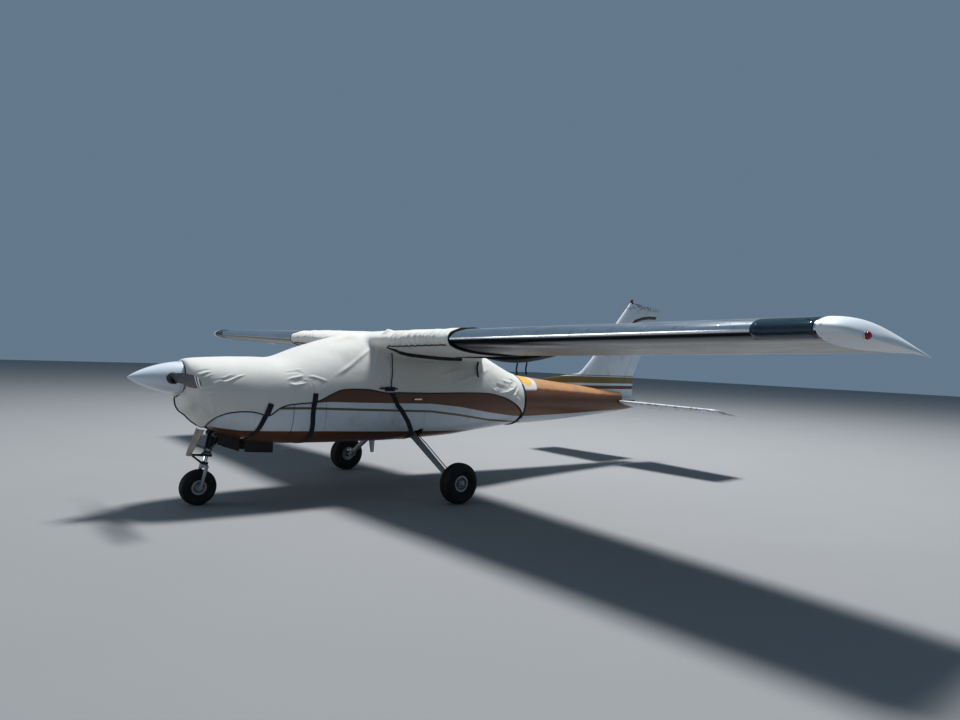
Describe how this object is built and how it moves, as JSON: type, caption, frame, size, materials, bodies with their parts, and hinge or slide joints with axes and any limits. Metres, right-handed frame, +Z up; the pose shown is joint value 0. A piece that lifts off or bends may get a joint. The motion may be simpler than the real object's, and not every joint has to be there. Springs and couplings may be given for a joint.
{
  "type": "light aircraft",
  "caption": "High-wing single-engined light aircraft parked on tricycle gear under a strapped fabric cover, with turning propeller, wheels and control surfaces.",
  "frame": {"origin": "on the ground under the middle of the aircraft, halfway along its length and span", "axes": "+X from nose to tail, +Y to the right-hand wing, +Z up"},
  "size_m": [8.3061, 11.02, 2.669],
  "materials": {
    "bare_metal": "polished bare sheet",
    "engine": "plain cast block",
    "steel_grey": "satin grey",
    "chrome": "polished",
    "black_metal": "black paint",
    "tyre": "worn tread",
    "rim": "light grey paint",
    "blade": "dark grey paint with white tips",
    "spinner": "gloss white paint",
    "skin_white": "white paint on thin sheet",
    "cloth": "cream cover cloth",
    "webbing": "black woven webbing",
    "glass": "clear acrylic",
    "red_lens": "clear red lens",
    "green_lens": "clear green lens"
  },
  "bodies": {
    "airframe": {"cabin_shell": "skin_white", "cabin_door_right": "skin_white", "cabin_door_left": "skin_white", "door_window_right": "glass", "door_window_left": "glass", "rear_window_right": "glass", "rear_window_left": "glass", "windshield": "glass", "firewall": "steel_grey", "cowling": "skin_white", "engine_block": "engine", "tailcone": "skin_white", "wing_centre": "bare_metal", "wing_right": "bare_metal", "wing_left": "bare_metal", "landing_lens_right": "glass", "landing_lens_left": "glass", "wing_tip_right": "skin_white", "wing_tip_left": "skin_white", "nav_light_right": "green_lens", "nav_light_left": "red_lens", "fin": "skin_white", "beacon": "red_lens", "gear_beam": "steel_grey", "main_leg_right": "steel_grey", "main_leg_left": "steel_grey", "nose_leg": "black_metal", "nose_door_front": "skin_white", "nose_door_right": "black_metal", "nose_door_left": "black_metal", "nose_door_aft_right": "black_metal", "nose_door_aft_left": "black_metal", "door_handle_right": "steel_grey", "door_handle_left": "steel_grey", "belly_mast": "skin_white", "cover": "cloth", "strap_front": "webbing", "strap_middle": "webbing", "strap_door": "webbing", "strap_aft": "webbing"},
    "propeller": {"propeller": "blade", "spinner": "spinner", "spinner_backplate": "bare_metal"},
    "nose_gear": {"nose_fork": "steel_grey", "nose_piston": "chrome", "nose_torque_link": "black_metal"},
    "nose_wheel": {"nose_rim": "rim", "nose_tyre": "tyre"},
    "main_wheel_right": {"main_rim_right": "rim", "main_tyre_right": "tyre"},
    "main_wheel_left": {"main_rim_left": "rim", "main_tyre_left": "tyre"},
    "rudder": {"rudder": "skin_white"},
    "stabilator": {"stabilator": "skin_white"},
    "flap_left": {"flap_left": "bare_metal"},
    "flap_right": {"flap_right": "bare_metal"},
    "aileron_left": {"aileron_left": "bare_metal"},
    "aileron_right": {"aileron_right": "bare_metal"}
  },
  "joints": [
    {"name": "propeller_spin", "type": "hinge", "parent": "airframe", "child": "propeller", "pos_m": [-3.783, 0, 1.287], "axis": [-1, 0, 0], "continuous": true},
    {"name": "nose_wheel_steer", "type": "hinge", "parent": "airframe", "child": "nose_gear", "pos_m": [-3.449, 0, 0.18], "axis": [0.1895, 0, 0.9819], "range_deg": [-30, 30]},
    {"name": "nose_wheel_spin", "type": "hinge", "parent": "nose_gear", "child": "nose_wheel", "pos_m": [-3.461, 0, 0.18], "axis": [0, 1, 0], "continuous": true},
    {"name": "main_wheel_right_spin", "type": "hinge", "parent": "airframe", "child": "main_wheel_right", "pos_m": [-1.093, 1.258, 0.222], "axis": [0, 1, 0], "continuous": true},
    {"name": "main_wheel_left_spin", "type": "hinge", "parent": "airframe", "child": "main_wheel_left", "pos_m": [-1.093, -1.258, 0.222], "axis": [0, 1, 0], "continuous": true},
    {"name": "rudder_hinge", "type": "hinge", "parent": "airframe", "child": "rudder", "pos_m": [3.162, 0, 1.14], "axis": [0.4226, 0, 0.9063], "range_deg": [-24, 24]},
    {"name": "stabilator_hinge", "type": "hinge", "parent": "airframe", "child": "stabilator", "pos_m": [3.217, 0, 0.956], "axis": [0, -1, 0], "range_deg": [0, 20]},
    {"name": "flap_left_hinge", "type": "hinge", "parent": "airframe", "child": "flap_left", "pos_m": [-0.58442, -0.63, 1.68439], "axis": [0.0262, 0.9994, -0.0244], "range_deg": [0, 30]},
    {"name": "aileron_left_hinge", "type": "hinge", "parent": "airframe", "child": "aileron_left", "pos_m": [-0.65854, -3.454, 1.75342], "axis": [0.0262, 0.9994, -0.0242], "range_deg": [-20, 20]},
    {"name": "flap_right_hinge", "type": "hinge", "parent": "airframe", "child": "flap_right", "pos_m": [-0.58442, 0.63, 1.68439], "axis": [-0.0262, 0.9994, 0.0244], "range_deg": [0, 30]},
    {"name": "aileron_right_hinge", "type": "hinge", "parent": "airframe", "child": "aileron_right", "pos_m": [-0.65854, 3.454, 1.75342], "axis": [-0.0262, 0.9994, 0.0242], "range_deg": [-20, 20]}
  ],
  "couplings": [
    {"joint": "aileron_right_hinge", "follows": "aileron_left_hinge", "ratio": -1},
    {"joint": "flap_right_hinge", "follows": "flap_left_hinge", "ratio": 1}
  ]
}
